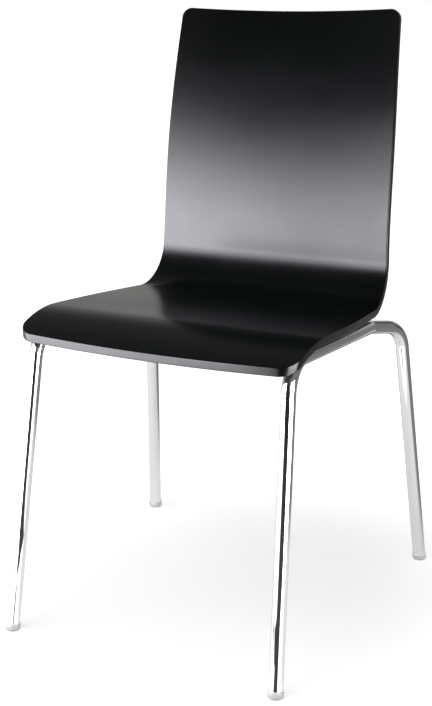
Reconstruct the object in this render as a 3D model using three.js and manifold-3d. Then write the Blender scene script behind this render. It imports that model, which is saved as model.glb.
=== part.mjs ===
// Choir chair: one moulded plywood shell screwed to a chromed steel tube frame, standing on four glides.
// Millimetres, +Z up. The sitter looks towards -Y. Left is -X, as seen by someone who faces the chair.
import * as THREE from 'three';
import { mergeVertices } from 'three/addons/utils/BufferGeometryUtils.js';
import Module from 'manifold-3d';

const wasm = await Module();
wasm.setup();
const rad = THREE.MathUtils.degToRad;

// Driving dimensions: clearances
const seatGap = 0.3;
const weldGap = 0.3;

// Driving dimensions: shell, lengths in the side view and half widths in the plan
const seatHeight = 448;
const seatSlopeDegrees = 4.5;
const shellThickness = 11;
const noseDropDegrees = 26;
const waterfallRadius = 195;
const flatInFront = 105;
const flatBehind = 121;
const bendRadius = 64.5;
const backLeanLowDegrees = 2.6;
const backLeanTopDegrees = 13.5;
const backLength = 372.5;
const noseHalfWidth = 210;
const seatHalfWidth = 212;
const seatMiddleHalfWidth = 208.8;
const waistHalfWidth = 199;
const backLowHalfWidth = 192;
const backMiddleHalfWidth = 188.7;
const topHalfWidth = 180;
const noseBow = 7.5;
const noseCornerRadius = 24;
const topCornerRadius = 15;
const backHollow = 14;
const topDip = 2;

// Driving dimensions: tube frame
const tubeDiameter = 20;
const tubeWall = 1.5;
const railSpacing = 384;
const railGap = 4.5;
const frontCornerReach = 177;
const frontBendRadius = 45;
const railJointReach = 127;
const elbowOut = 25.5;
const elbowBack = 66;
const elbowDrop = 12;
const elbowBendRadius = 45;
const frontTrack = 418;
const rearTrack = 494;
const frontFootReach = 248;
const rearFootReach = 248;
const crossTubeDiameter = 16;
const crossTubeWall = 1.5;
const frontCrossPlace = -101;
const rearCrossPlace = 99;

// Driving dimensions: fixings under the seat
const screwInset = 28;
const frontScrewPlace = -68;
const rearScrewPlace = 66;
const plateRise = 5;
const plateThickness = 3;
const plateWidth = 28;
const screwDiameter = 6;
const screwHeadDiameter = 12;
const screwHeadHeight = 3.6;
const socketAcrossFlats = 4;
const socketDepth = 2;
const washerDiameter = 14;
const washerThickness = 1.6;
const spacerDiameter = 22;
const spacerEase = 1;
const insertDiameter = 9;
const insertLength = 8;
const screwShortOfInsert = 1;

// Driving dimensions: glides
const glideDiameter = 22.4;
const glideHeight = 10;
const glideFloor = 3.5;
const glideDip = 1.2;
const glideBottomEase = 3.5;
const glideLipEase = 0.5;
const stemLength = 20;
const stemTipEase = 1.5;

// Fineness of the faceted surfaces
const tubeSides = 20;
const tubeBendSteps = 8;
const smallSides = 18;
const easeSteps = 3;
const shellColumns = 12;
const cornerRows = 5;
const waterfallRows = 5;
const flatRows = 4;
const bendRows = 9;
const backRows = 9;

// Sizes that follow from the driving dimensions
const tubeRadius = tubeDiameter / 2;
const railX = railSpacing / 2;
const railDepth = shellThickness + railGap + tubeRadius;
const screwX = railX - screwInset;
const boreClearRadius = screwDiameter / 2 + seatGap;
const plateTop = plateRise - railDepth;
const plateBottom = plateTop - plateThickness;
const washerTop = plateBottom - seatGap;
const headTop = washerTop - washerThickness - seatGap;
const overrun = tubeDiameter;

// Booleans

function toSolid(geometry) {
  const bare = geometry.clone();
  bare.deleteAttribute('normal');
  bare.deleteAttribute('uv');
  const merged = mergeVertices(bare);
  return new wasm.Manifold(new wasm.Mesh({
    numProp: 3,
    vertProperties: new Float32Array(merged.attributes.position.array),
    triVerts: new Uint32Array(merged.index.array),
  }));
}

function toGeometry(solid) {
  const mesh = solid.getMesh();
  const geometry = new THREE.BufferGeometry();
  geometry.setAttribute('position', new THREE.BufferAttribute(mesh.vertProperties, 3));
  geometry.setIndex(new THREE.BufferAttribute(mesh.triVerts, 1));
  geometry.computeVertexNormals();
  return geometry;
}

function cut(geometry, tools) {
  return toGeometry(tools.reduce((solid, tool) => solid.subtract(toSolid(tool)), toSolid(geometry)));
}

// A cube that fills the space just beyond a point, square to the given direction
function blockBeyond(point, direction, size) {
  const block = new THREE.BoxGeometry(size, size, size);
  block.translate(0, 0, size / 2);
  block.applyQuaternion(new THREE.Quaternion().setFromUnitVectors(new THREE.Vector3(0, 0, 1), direction));
  block.translate(point.x, point.y, point.z);
  return block;
}

// Round sections and turned pieces

function circlePoints(radius, sides) {
  return Array.from({ length: sides }, (_, i) => {
    const angle = (2 * Math.PI * i) / sides;
    return new THREE.Vector2(radius * Math.cos(angle), radius * Math.sin(angle));
  });
}

function tubeSection(outerRadius, wall) {
  const section = new THREE.Shape(circlePoints(outerRadius, tubeSides));
  section.holes.push(new THREE.Path(circlePoints(outerRadius - wall, tubeSides)));
  return section;
}

// A quarter round from one profile point to another, bulging outwards and down
function quarterRound(centreRadius, centreHeight, ease, fromAngle) {
  return Array.from({ length: easeSteps + 1 }, (_, i) => {
    const angle = fromAngle + (Math.PI / 2) * (i / easeSteps);
    return [centreRadius + ease * Math.cos(angle), centreHeight + ease * Math.sin(angle)];
  });
}

// Turns a profile of [radius, height] points about the Z axis
function turned(profile) {
  const points = profile.map(([radius, height]) => new THREE.Vector2(radius, height));
  const geometry = new THREE.LatheGeometry(points, smallSides);
  geometry.rotateX(Math.PI / 2);
  return geometry;
}

function ring(outerRadius, innerRadius, bottom, top) {
  return turned([[innerRadius, bottom], [outerRadius, bottom], [outerRadius, top], [innerRadius, top],
    [innerRadius, bottom]]);
}

function rod(radius, bottom, top) {
  return turned([[0, bottom], [radius, bottom], [radius, top], [0, top]]);
}

// Materials

const finishes = {
  lacquer: { color: 0x0b0b0c, roughness: 0.25, metalness: 0 },
  chrome: { color: 0xd9dbde, roughness: 0.06, metalness: 1 },
  steel: { color: 0xa6a8ab, roughness: 0.35, metalness: 1 },
  blackPlastic: { color: 0x141414, roughness: 0.55, metalness: 0 },
  brass: { color: 0xb08d45, roughness: 0.4, metalness: 1 },
  clearPlastic: { color: 0xd8dad8, roughness: 0.3, metalness: 0 },
};

function named(name, geometry, finish) {
  const mesh = new THREE.Mesh(geometry, new THREE.MeshStandardMaterial(finishes[finish]));
  mesh.name = name;
  return mesh;
}

// The seat frame: origin on the seat's top face above the middle of the chair, Y along the seat, Z square to it

const seatFrame = new THREE.Group();
seatFrame.position.set(0, 0, seatHeight);
seatFrame.rotation.x = -rad(seatSlopeDegrees);
seatFrame.updateMatrix();

function seatPoint(x, along, above) {
  return new THREE.Vector3(x, along, above).applyMatrix4(seatFrame.matrix);
}

// Shell: a flat blank pressed onto the side profile, then trimmed by its outline

const waterfallTurn = rad(noseDropDegrees + seatSlopeDegrees);
const bendTurn = rad(90 + seatSlopeDegrees - backLeanLowDegrees);
const backTurn = -rad(backLeanTopDegrees - backLeanLowDegrees);
const waterfallLength = waterfallRadius * waterfallTurn;
const flatLength = flatInFront + flatBehind;
const bendLength = bendRadius * bendTurn;
const flatEnd = waterfallLength + flatLength;
const bendEnd = flatEnd + bendLength;
const shellLength = bendEnd + backLength;

// Where the side profile is after a given length from the nose, as [along, above, heading] in the seat frame
function profileAt(place) {
  const fromWaterfall = place - waterfallLength;
  if (fromWaterfall < 0) {
    const angle = -fromWaterfall / waterfallRadius;
    const along = -flatInFront - waterfallRadius * Math.sin(angle);
    return [along, -waterfallRadius * (1 - Math.cos(angle)), angle];
  }
  if (place <= flatEnd) return [fromWaterfall - flatInFront, 0, 0];
  if (place <= bendEnd) {
    const angle = (place - flatEnd) / bendRadius;
    return [flatBehind + bendRadius * Math.sin(angle), bendRadius * (1 - Math.cos(angle)), angle];
  }
  const [along, above, heading] = profileAt(bendEnd);
  const curvature = backTurn / backLength;
  const turn = (place - bendEnd) * curvature;
  return [
    along + (Math.sin(heading + turn) - Math.sin(heading)) / curvature,
    above + (Math.cos(heading) - Math.cos(heading + turn)) / curvature,
    heading + turn,
  ];
}

// The outline's half width at the stations that shape it
const widthStations = [
  [0, noseHalfWidth],
  [waterfallLength, seatHalfWidth],
  [(waterfallLength + flatEnd) / 2, seatMiddleHalfWidth],
  [flatEnd, waistHalfWidth],
  [bendEnd, backLowHalfWidth],
  [(bendEnd + shellLength) / 2, backMiddleHalfWidth],
  [shellLength, topHalfWidth],
];

// A smooth curve through stations of [place, value]
function smoothThrough(stations, place) {
  const slope = (i) => {
    const before = stations[Math.max(i - 1, 0)];
    const after = stations[Math.min(i + 1, stations.length - 1)];
    return (after[1] - before[1]) / (after[0] - before[0]);
  };
  const reached = stations.filter((station) => station[0] <= place).length - 1;
  const i = THREE.MathUtils.clamp(reached, 0, stations.length - 2);
  const [start, from] = stations[i];
  const [end, to] = stations[i + 1];
  const run = end - start;
  const t = (place - start) / run;
  const eased = t * t * (3 - 2 * t);
  return from + (to - from) * eased + run * t * (1 - t) * (slope(i) * (1 - t) - slope(i + 1) * t);
}

// How far a rounded corner draws the outline in, at a given distance from the blank's end
function cornerInset(fromEnd, radius) {
  const left = Math.max(0, radius - fromEnd);
  return radius - Math.sqrt(radius * radius - left * left);
}

// The rows of the blank, closer together in the rounded corners and in the bend
function shellRows() {
  const rows = [];
  const spread = (start, end, count) => {
    for (let i = 0; i < count; i += 1) rows.push(start + ((end - start) * i) / count);
  };
  for (let i = 0; i < cornerRows; i += 1) {
    rows.push(noseCornerRadius * (1 - Math.cos((Math.PI / 2) * (i / cornerRows))));
  }
  spread(noseCornerRadius, waterfallLength, waterfallRows);
  spread(waterfallLength, flatEnd, flatRows);
  spread(flatEnd, bendEnd, bendRows);
  spread(bendEnd, shellLength - topCornerRadius, backRows);
  for (let i = cornerRows; i >= 0; i -= 1) {
    rows.push(shellLength - topCornerRadius * (1 - Math.cos((Math.PI / 2) * (i / cornerRows))));
  }
  return rows;
}

// A point of the pressed shell: place along it, side share from -1 to 1, and depth below its top face
function shellPoint(place, sideShare, depth) {
  const crownShare = 1 - sideShare * sideShare;
  const frontShare = Math.max(0, 1 - place / waterfallLength);
  const backShare = Math.max(0, (place - bendEnd) / backLength);
  const uprightCut = depth * Math.tan(rad(noseDropDegrees));
  const drawnIn = frontShare * (noseBow * crownShare + uprightCut) + backShare * topDip * crownShare;
  const [along, above, heading] = profileAt(place - drawnIn);
  const sunk = depth + backHollow * backShare * backShare * crownShare;
  const halfWidth = smoothThrough(widthStations, place)
    - cornerInset(place, noseCornerRadius)
    - cornerInset(shellLength - place, topCornerRadius);
  return new THREE.Vector3(
    halfWidth * sideShare,
    along + sunk * Math.sin(heading),
    above - sunk * Math.cos(heading),
  );
}

function seatShell() {
  const rows = shellRows();
  const blank = new THREE.BoxGeometry(2, 1, 1, shellColumns, 1, rows.length - 1);
  const position = blank.attributes.position;
  for (let i = 0; i < position.count; i += 1) {
    const row = Math.round((position.getZ(i) + 0.5) * (rows.length - 1));
    const depth = position.getY(i) > 0 ? 0 : shellThickness;
    const point = shellPoint(rows[row], -position.getX(i), depth);
    position.setXYZ(i, point.x, point.y, point.z);
  }
  const pockets = screwPlaces().map(([x, along]) => {
    const pocket = rod(insertDiameter / 2 + seatGap, -shellThickness - overrun,
      insertLength + seatGap - shellThickness);
    return pocket.translate(x, along, 0);
  });
  return cut(blank, pockets);
}

// Tube frame: straight runs joined by true arcs

class BentLine extends THREE.Curve {
  constructor(corners, bendRadii) {
    super();
    this.stations = [];
    corners.forEach((corner, i) => {
      const before = i > 0 ? corner.clone().sub(corners[i - 1]).normalize() : null;
      const after = i < corners.length - 1 ? corners[i + 1].clone().sub(corner).normalize() : null;
      if (before && after) this.addBend(corner, before, after, bendRadii[i - 1]);
      else this.stations.push({ point: corner, tangent: before ?? after });
    });
  }

  addBend(corner, before, after, radius) {
    const turn = before.angleTo(after);
    const start = corner.clone().addScaledVector(before, -radius * Math.tan(turn / 2));
    const axis = before.clone().cross(after).normalize();
    const inwards = axis.clone().cross(before);
    for (let i = 0; i <= tubeBendSteps; i += 1) {
      const angle = (turn * i) / tubeBendSteps;
      const point = start.clone()
        .addScaledVector(before, radius * Math.sin(angle))
        .addScaledVector(inwards, radius * (1 - Math.cos(angle)));
      this.stations.push({ point, tangent: before.clone().applyAxisAngle(axis, angle) });
    }
  }

  // The line is sampled at its own stations, not at even steps
  getUtoTmapping(u) {
    return u;
  }

  getPoint(t) {
    return this.between(t, 'point');
  }

  getTangent(t) {
    return this.between(t, 'tangent').normalize();
  }

  between(t, key) {
    const scaled = t * (this.stations.length - 1);
    const i = Math.min(Math.floor(scaled), this.stations.length - 2);
    return this.stations[i][key].clone().lerp(this.stations[i + 1][key], scaled - i);
  }
}

function bentTube(corners, bendRadii) {
  const line = new BentLine(corners, bendRadii);
  return new THREE.ExtrudeGeometry(tubeSection(tubeRadius, tubeWall), {
    steps: line.stations.length - 1,
    extrudePath: line,
  });
}

// The corners of one side of the frame, from the front foot to the rear foot
function sideLine(side) {
  const railEnd = seatPoint(side * railX, railJointReach, -railDepth);
  return {
    frontFoot: new THREE.Vector3((side * frontTrack) / 2, -frontFootReach, 0),
    frontCorner: seatPoint(side * railX, -frontCornerReach, -railDepth),
    joint: railEnd,
    elbow: new THREE.Vector3(railEnd.x + side * elbowOut, railEnd.y + elbowBack, railEnd.z - elbowDrop),
    rearFoot: new THREE.Vector3((side * rearTrack) / 2, rearFootReach, 0),
  };
}

function direction(from, to) {
  return to.clone().sub(from).normalize();
}

// Where a leg tube ends above its foot: on the floor of the glide's socket
function tubeEnd(foot, up) {
  return foot.clone().addScaledVector(up, glideFloor + seatGap);
}

function frontLeg(side) {
  const { frontFoot, frontCorner, joint, elbow } = sideLine(side);
  const along = direction(frontCorner, joint);
  const mitre = along.clone().add(direction(joint, elbow)).normalize();
  const past = joint.clone().addScaledVector(along, overrun);
  const start = tubeEnd(frontFoot, direction(frontFoot, frontCorner));
  const end = joint.clone().addScaledVector(mitre, -weldGap / 2);
  return cut(bentTube([start, frontCorner, past], [frontBendRadius]), [blockBeyond(end, mitre, 2 * overrun)]);
}

function rearLeg(side) {
  const { frontCorner, joint, elbow, rearFoot } = sideLine(side);
  const along = direction(elbow, joint);
  const mitre = along.clone().add(direction(joint, frontCorner)).normalize();
  const past = joint.clone().addScaledVector(along, overrun);
  const start = tubeEnd(rearFoot, direction(rearFoot, elbow));
  const end = joint.clone().addScaledVector(mitre, -weldGap / 2);
  return cut(bentTube([start, elbow, past], [elbowBendRadius]), [blockBeyond(end, mitre, 2 * overrun)]);
}

// What a piece that meets the rails is cut back by: each rail, with the weld's gap
function railTools() {
  return [-1, 1].map((side) => {
    const tool = rod(tubeRadius + weldGap, -frontCornerReach, railJointReach);
    return tool.rotateX(-Math.PI / 2).translate(side * railX, 0, -railDepth);
  });
}

function crossTube(place) {
  const tube = new THREE.ExtrudeGeometry(tubeSection(crossTubeDiameter / 2, crossTubeWall), {
    depth: railSpacing,
    bevelEnabled: false,
  });
  tube.rotateY(Math.PI / 2).translate(-railX, place, -railDepth);
  return cut(tube, railTools());
}

// Fixings under the seat: plate, spacer, washer, screw and insert at each of four places

function screwPlaces() {
  return [-1, 1].flatMap((side) => [frontScrewPlace, rearScrewPlace].map((along) => [side * screwX, along]));
}

function fixingPlate(x, along) {
  const side = Math.sign(x);
  const half = plateWidth / 2;
  const outline = new THREE.Shape();
  outline.moveTo(screwInset, -half);
  outline.lineTo(screwInset, half);
  outline.lineTo(0, half);
  outline.absarc(0, 0, half, Math.PI / 2, (3 * Math.PI) / 2);
  outline.closePath();
  outline.holes.push(new THREE.Path(circlePoints(boreClearRadius, smallSides)));
  const plate = new THREE.ExtrudeGeometry(outline, {
    depth: plateThickness,
    bevelEnabled: false,
    curveSegments: smallSides / 2,
  });
  if (side < 0) plate.rotateZ(Math.PI);
  plate.translate(x, along, plateBottom);
  return cut(plate, railTools());
}

function spacer() {
  const outer = spacerDiameter / 2;
  const bottom = plateTop + seatGap;
  const top = -shellThickness - seatGap;
  return turned([
    [boreClearRadius, bottom], [outer - spacerEase, bottom], [outer, bottom + spacerEase],
    [outer, top - spacerEase], [outer - spacerEase, top], [boreClearRadius, top], [boreClearRadius, bottom],
  ]);
}

function washer() {
  return ring(washerDiameter / 2, boreClearRadius, washerTop - washerThickness, washerTop);
}

function screw() {
  const shank = screwDiameter / 2;
  const head = screwHeadDiameter / 2;
  const headBottom = headTop - screwHeadHeight;
  const tip = insertLength - screwShortOfInsert - shellThickness;
  const body = turned([
    [0, headBottom], [head - screwHeadHeight / 2, headBottom], [head, headTop - screwHeadHeight / 2],
    [head, headTop], [shank, headTop], [shank, tip - shank / 2], [shank / 2, tip], [0, tip],
  ]);
  const corner = socketAcrossFlats / 2 / Math.cos(Math.PI / 6);
  const socket = new THREE.ExtrudeGeometry(new THREE.Shape(circlePoints(corner, 6)), {
    depth: 2 * socketDepth,
    bevelEnabled: false,
  });
  return cut(body, [socket.translate(0, 0, headBottom - socketDepth)]);
}

function insert() {
  return ring(insertDiameter / 2, boreClearRadius, seatGap - shellThickness, insertLength - shellThickness);
}

// Glide: a cup over the tube's end with a stem inside the tube, cut flat where it stands on the floor

function glide(up) {
  const outer = glideDiameter / 2;
  const socket = tubeRadius + seatGap;
  const stem = tubeRadius - tubeWall - seatGap;
  const body = turned([
    [0, -glideDip],
    ...quarterRound(outer - glideBottomEase, glideBottomEase - glideDip, glideBottomEase, -Math.PI / 2),
    [outer, glideHeight - glideLipEase], [outer - glideLipEase, glideHeight],
    [socket, glideHeight], [socket, glideFloor], [stem, glideFloor],
    [stem, stemLength - stemTipEase], [stem - stemTipEase, stemLength], [0, stemLength],
  ]);
  body.applyQuaternion(new THREE.Quaternion().setFromUnitVectors(new THREE.Vector3(0, 0, 1), up));
  const floor = blockBeyond(new THREE.Vector3(), new THREE.Vector3(0, 0, -1), 2 * glideDiameter);
  return cut(body, [floor]);
}

// Assembly

const chair = new THREE.Group();

seatFrame.add(named('seat_shell', seatShell(), 'lacquer'));
seatFrame.add(named('front_cross_tube', crossTube(frontCrossPlace), 'chrome'));
seatFrame.add(named('rear_cross_tube', crossTube(rearCrossPlace), 'chrome'));

screwPlaces().forEach(([x, along]) => {
  const where = `${along < 0 ? 'front' : 'rear'}_${x < 0 ? 'left' : 'right'}`;
  const fixings = [
    named(`spacer_${where}`, spacer(), 'blackPlastic'),
    named(`washer_${where}`, washer(), 'steel'),
    named(`screw_${where}`, screw(), 'steel'),
    named(`insert_${where}`, insert(), 'brass'),
  ];
  fixings.forEach((piece) => piece.position.set(x, along, 0));
  seatFrame.add(named(`fixing_plate_${where}`, fixingPlate(x, along), 'chrome'), ...fixings);
});
chair.add(seatFrame);

[['left', -1], ['right', 1]].forEach(([name, side]) => {
  const { frontFoot, frontCorner, elbow, rearFoot } = sideLine(side);
  chair.add(named(`front_leg_${name}`, frontLeg(side), 'chrome'));
  chair.add(named(`rear_leg_${name}`, rearLeg(side), 'chrome'));
  const frontGlide = named(`glide_front_${name}`, glide(direction(frontFoot, frontCorner)), 'clearPlastic');
  const rearGlide = named(`glide_rear_${name}`, glide(direction(rearFoot, elbow)), 'clearPlastic');
  frontGlide.position.copy(frontFoot);
  rearGlide.position.copy(rearFoot);
  chair.add(frontGlide, rearGlide);
});

// The origin lies on the floor under the middle of the whole chair
const extent = new THREE.Box3().setFromObject(chair, true);
chair.position.y = -(extent.min.y + extent.max.y) / 2;

export default chair;
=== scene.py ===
"""Choir chair: a pressed plywood shell in black lacquer, screwed from below to a chromed tube frame.

Lengths are in metres and Z is up. The sitter looks towards -Y, and left is -X, as seen from the front.
"""

import math

import bmesh
import bpy
from mathutils import Matrix, Vector


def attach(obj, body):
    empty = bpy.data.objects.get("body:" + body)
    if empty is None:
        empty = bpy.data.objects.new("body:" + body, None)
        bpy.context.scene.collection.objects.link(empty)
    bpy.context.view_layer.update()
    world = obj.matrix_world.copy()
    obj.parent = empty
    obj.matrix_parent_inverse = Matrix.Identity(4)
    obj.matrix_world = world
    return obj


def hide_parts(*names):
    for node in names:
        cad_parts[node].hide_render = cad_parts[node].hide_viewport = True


bl_info = {
    "name": "Choir Chair",
    "version": (1, 0, 0),
    "blender": (4, 5, 0),
    "location": "3D View > Sidebar > Choir Chair",
    "description": "Builds a plywood shell chair on a chromed tube frame",
    "category": "Add Mesh",
}

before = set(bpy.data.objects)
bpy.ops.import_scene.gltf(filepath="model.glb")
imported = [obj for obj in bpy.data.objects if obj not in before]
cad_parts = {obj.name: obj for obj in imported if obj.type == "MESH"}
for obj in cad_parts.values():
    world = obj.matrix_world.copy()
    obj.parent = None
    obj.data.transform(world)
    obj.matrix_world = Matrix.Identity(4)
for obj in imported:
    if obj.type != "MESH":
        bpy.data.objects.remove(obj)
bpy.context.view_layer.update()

MM = 0.001
SIDES = (("left", -1), ("right", 1))
SMOOTH_ANGLE = math.radians(35)
SHARP_ANGLE = math.radians(40)
WELD_DISTANCE = 0.01 * MM
TURNED_SIDES = 64
TOOL_SIDES = 96


# Properties


def length(name, description, millimetres):
    return bpy.props.FloatProperty(
        name=name, description=description, default=millimetres * MM, unit="LENGTH", subtype="DISTANCE"
    )


def angle(name, description, degrees):
    return bpy.props.FloatProperty(
        name=name, description=description, default=math.radians(degrees), unit="ROTATION", subtype="ANGLE"
    )


def share(name, description, value):
    return bpy.props.FloatProperty(
        name=name, description=description, default=value, min=0, max=1, subtype="FACTOR"
    )


def colour(name, description, value):
    return bpy.props.FloatVectorProperty(
        name=name, description=description, default=value, size=3, min=0, max=1, subtype="COLOR"
    )


class ShellSizes(bpy.types.PropertyGroup):
    seat_height: length("Seat height", "Height of the seat's top face above the middle of the chair", 448)
    middle: length("Middle", "Place of the seat's middle along Y", -3.6784)
    slope: angle("Slope", "Fall of the seat towards the back", 4.5)
    thickness: length("Thickness", "Thickness of the plywood", 11)
    waterfall_radius: length("Waterfall radius", "Radius of the seat's rounded front", 195)
    nose_drop: angle("Nose drop", "Angle of the front edge below level", 26)
    flat_in_front: length("Flat in front", "Flat of the seat in front of the middle", 105)
    flat_behind: length("Flat behind", "Flat of the seat behind the middle", 121)
    bend_radius: length("Bend radius", "Radius from the seat up to the backrest", 64.5)
    lean_low: angle("Lean at the bend", "Lean of the backrest where the bend ends", 2.6)
    lean_top: angle("Lean at the top", "Lean of the backrest at its top edge", 13.5)
    back_length: length("Back length", "Length of the backrest above the bend", 372.5)
    nose_half: length("Nose half width", "Half the width at the front edge", 210)
    seat_half: length("Seat half width", "Half the width where the rounded front ends", 212)
    seat_middle_half: length("Middle half width", "Half the width in the middle of the seat", 208.8)
    waist_half: length("Waist half width", "Half the width where the bend starts", 199)
    back_low_half: length("Low back half width", "Half the width where the bend ends", 192)
    back_middle_half: length("Middle back half width", "Half the width half way up the backrest", 188.7)
    top_half: length("Top half width", "Half the width at the top edge", 180)
    nose_bow: length("Nose bow", "How far the front edge bulges in the middle", 7.5)
    nose_corner: length("Nose corner", "Radius of the two front corners", 24)
    top_corner: length("Top corner", "Radius of the two top corners", 15)
    hollow: length("Hollow", "Depth of the backrest's hollow at its top edge", 14)
    top_dip: length("Top dip", "How far the top edge dips in the middle", 2)
    rim: length("Rim", "Radius of the eased rim", 1.2)


class FrameSizes(bpy.types.PropertyGroup):
    tube: length("Tube", "Diameter of the leg and rail tube", 20)
    wall: length("Wall", "Wall of the tubes", 1.5)
    rail_spacing: length("Rail spacing", "Distance between the two rails", 384)
    rail_depth: length("Rail depth", "Depth of the rails' middle below the seat's top face", 25.5)
    corner_reach: length("Corner reach", "Place of the front corners in front of the middle", 177)
    corner_radius: length("Corner radius", "Bend radius of the front corners", 45)
    joint_reach: length("Joint reach", "Place of the joint between rail and rear leg", 127)
    elbow_out: length("Elbow out", "How far the elbow lies outside the rail", 25.5)
    elbow_back: length("Elbow back", "How far the elbow lies behind the joint", 66)
    elbow_drop: length("Elbow drop", "How far the elbow lies below the joint", 12)
    elbow_radius: length("Elbow radius", "Bend radius of the elbow", 45)
    front_track: length("Front track", "Distance between the front feet", 418)
    rear_track: length("Rear track", "Distance between the rear feet", 494)
    foot_reach: length("Foot reach", "Place of the feet before and behind the middle", 248)
    cross_tube: length("Cross tube", "Diameter of the cross tubes", 16)
    front_cross: length("Front cross tube", "Place of the front cross tube", -101)
    rear_cross: length("Rear cross tube", "Place of the rear cross tube", 99)
    gap: length("Gap", "Play left where two pieces meet", 0.3)
    bead: length("Weld bead", "Radius of the weld beads", 1.5)


class FixingSizes(bpy.types.PropertyGroup):
    inset: length("Screw inset", "Distance of the screws inside the rails", 28)
    front_place: length("Front screws", "Place of the front screws", -68)
    rear_place: length("Rear screws", "Place of the rear screws", 66)
    plate_rise: length("Plate rise", "Height of the plate's top above the rail's middle", 5)
    plate_thickness: length("Plate thickness", "Thickness of the fixing plates", 3)
    plate_width: length("Plate width", "Width of the fixing plates", 28)
    screw: length("Screw", "Diameter of the screws", 6)
    head: length("Screw head", "Diameter of the screw heads", 12)
    head_height: length("Head height", "Height of the screw heads", 3.6)
    socket: length("Socket", "Key size of the screws' sockets", 4)
    socket_depth: length("Socket depth", "Depth of the screws' sockets", 2)
    washer: length("Washer", "Diameter of the washers", 14)
    washer_thickness: length("Washer thickness", "Thickness of the washers", 1.6)
    spacer: length("Spacer", "Diameter of the plastic spacers", 22)
    insert: length("Insert", "Diameter of the brass inserts", 9)
    insert_length: length("Insert length", "Length of the brass inserts", 8)


class GlideSizes(bpy.types.PropertyGroup):
    diameter: length("Diameter", "Outer diameter of the glides", 22.05)
    height: length("Height", "Height of the cup round the tube", 10)
    floor: length("Floor", "Thickness of the cup's bottom", 3.5)
    dip: length("Dip", "How far the rounded bottom reaches below the foot before it is cut flat", 1.2)
    ease: length("Bottom ease", "Rounding of the bottom edge", 3.5)
    stem: length("Stem", "Top of the stem inside the tube", 20)


class Finishes(bpy.types.PropertyGroup):
    lacquer: colour("Lacquer", "Colour of the lacquered plywood", (0.0011, 0.0018, 0.002))
    lacquer_roughness: share("Lacquer roughness", "Gloss of the lacquer, lower is glossier", 0.25)
    chrome: colour("Chrome", "Colour of the chromed tubes", (0.92, 0.925, 0.93))
    zinc: colour("Zinc", "Colour of the zinc plated steel", (0.6, 0.61, 0.62))
    plastic: colour("Black plastic", "Colour of the spacers", (0.02, 0.02, 0.02))
    brass: colour("Brass", "Colour of the inserts", (0.6, 0.45, 0.2))
    glide: colour("Glide plastic", "Colour of the translucent glides", (0.96, 0.965, 0.96))


class StageSettings(bpy.types.PropertyGroup):
    floor: colour("Floor", "Colour of the studio floor", (0.42, 0.42, 0.42))
    dome: bpy.props.FloatProperty(
        name="Dome", description="Strength of the soft light from all round", default=0.75, min=0
    )
    key: bpy.props.FloatProperty(
        name="Key", description="Strength of the large soft light above", default=75, min=0
    )
    sheen: bpy.props.FloatProperty(
        name="Sheen", description="Brightness of the panels that the gloss mirrors", default=9.5, min=0
    )


# Modelling aids


def only(piece):
    """Makes piece the one selected and active object."""
    bpy.ops.object.select_all(action="DESELECT")
    piece.select_set(True)
    bpy.context.view_layer.objects.active = piece


def settled():
    """Puts the active object's place, turn and scale into its mesh."""
    bpy.ops.object.transform_apply(location=True, rotation=True, scale=True)


def added(primitive, **settings):
    """Adds a primitive, a lamp or a camera while nothing else is selected."""
    bpy.ops.object.select_all(action="DESELECT")
    primitive(**settings)
    return bpy.context.active_object


def started(name, primitive, **settings):
    """Adds a primitive, puts its place into its mesh and opens it in edit mode, all of it selected."""
    piece = added(primitive, **settings)
    piece.name = piece.data.name = name
    settled()
    bpy.ops.object.mode_set(mode="EDIT")
    bpy.ops.mesh.select_all(action="SELECT")
    return piece


def pick(kind, test):
    """In edit mode, selects only the vertices, edges or faces that pass the test."""
    bpy.ops.mesh.select_mode(type=kind)
    bpy.ops.mesh.select_all(action="DESELECT")
    mesh = bpy.context.edit_object.data
    shape = bmesh.from_edit_mesh(mesh)
    parts = {"VERT": shape.verts, "EDGE": shape.edges, "FACE": shape.faces}[kind]
    for part in parts:
        if test(part):
            part.select_set(True)
    shape.select_flush_mode()
    bmesh.update_edit_mesh(mesh)


def sealed():
    """Merges doubles, closes open ends and turns all faces outwards, in edit mode."""
    bpy.ops.mesh.select_mode(type="VERT")
    bpy.ops.mesh.select_all(action="SELECT")
    bpy.ops.mesh.remove_doubles(threshold=WELD_DISTANCE)
    bpy.ops.mesh.fill_holes(sides=0)
    bpy.ops.mesh.select_all(action="SELECT")
    bpy.ops.mesh.normals_make_consistent(inside=False)


def drawn_out(way):
    """Extrudes the selected edges, in edit mode."""
    bpy.ops.mesh.extrude_edges_move(TRANSFORM_OT_translate={"value": way})


def cut_across(place, direction, **settings):
    """Cuts the whole mesh along a plane, in edit mode."""
    bpy.ops.mesh.select_all(action="SELECT")
    bpy.ops.mesh.bisect(plane_co=place, plane_no=direction, **settings)


def rounded(width, segments, clamp_overlap=False):
    """Rounds the selected edges, in edit mode."""
    bpy.ops.mesh.bevel(offset=width, segments=segments, affect="EDGES", clamp_overlap=clamp_overlap)


def softened(width, segments):
    """Rounds the sharp edges, in edit mode."""
    pick("EDGE", lambda edge: len(edge.link_faces) == 2 and edge.calc_face_angle() > SHARP_ANGLE)
    rounded(width, segments, clamp_overlap=True)


def closed_up(piece):
    """Leaves edit mode and shades the piece."""
    bpy.ops.object.mode_set(mode="OBJECT")
    only(piece)
    bpy.ops.object.shade_smooth_by_angle(angle=SMOOTH_ANGLE)
    return piece


def with_modifier(piece, kind, **settings):
    """Adds a modifier with these settings and applies it."""
    only(piece)
    modifier = piece.modifiers.new(kind.title(), kind)
    for key, value in settings.items():
        setattr(modifier, key, value)
    bpy.ops.object.modifier_apply(modifier=modifier.name)


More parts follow.
